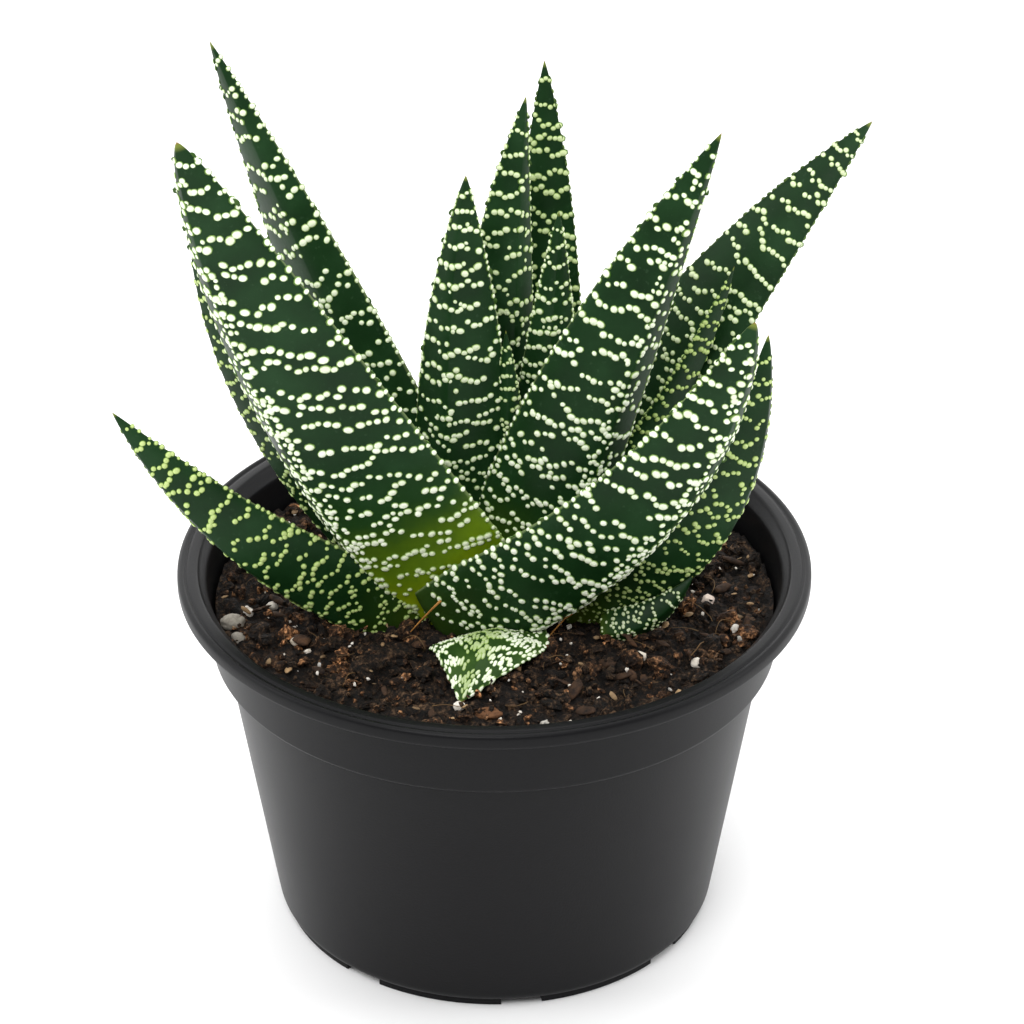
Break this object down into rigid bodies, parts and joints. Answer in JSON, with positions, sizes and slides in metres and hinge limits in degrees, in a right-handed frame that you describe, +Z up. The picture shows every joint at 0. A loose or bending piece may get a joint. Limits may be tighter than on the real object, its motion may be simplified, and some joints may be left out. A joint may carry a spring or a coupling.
{
  "type": "potted succulent",
  "caption": "Potted gasteraloe: a rosette of thick keeled dark green leaves banded with white beads, in soil in a round black plastic nursery pot with a flat rim and stepped collar.",
  "frame": {"origin": "on the pot's axis, on the plane that the pot's feet stand on", "axes": "+Z up along the pot's axis; the front of the plant, seen in the picture, faces -Y; +X is to the right seen from the front"},
  "size_m": [0.1404, 0.12, 0.1725],
  "materials": {
    "pot_plastic": "satin black polypropylene",
    "soil": "rough moist peat and bark",
    "stem": "matt fleshy root",
    "leaf": "satin waxy leaf",
    "grey_stone": "matt",
    "perlite": "matt",
    "bark": "matt"
  },
  "bodies": {
    "root": {"pot": "pot_plastic", "soil": "soil", "stem_and_roots": "stem", "leaf_front_right_curved": "leaf", "leaf_front_left_large": "leaf", "leaf_front_short": "leaf", "leaf_left_low": "leaf", "leaf_right_outer": "leaf", "leaf_right_small": "leaf", "leaf_centre_right_large": "leaf", "leaf_centre": "leaf", "leaf_left_upright": "leaf", "leaf_right_large": "leaf", "leaf_right_inner": "leaf", "leaf_inner_small": "leaf", "leaf_centre_back": "leaf", "leaf_rear": "leaf", "leaf_left_tall": "leaf", "leaf_heart_tiny": "leaf", "grey_stone": "grey_stone", "grey_stone_small": "grey_stone", "perlite_left": "perlite", "perlite_left_inner": "perlite", "perlite_front_left": "perlite", "perlite_front": "perlite", "perlite_front_right": "perlite", "perlite_right": "perlite", "perlite_right_back": "perlite", "bark_chip_front": "bark", "bark_chip_right": "bark"}
  },
  "joints": []
}
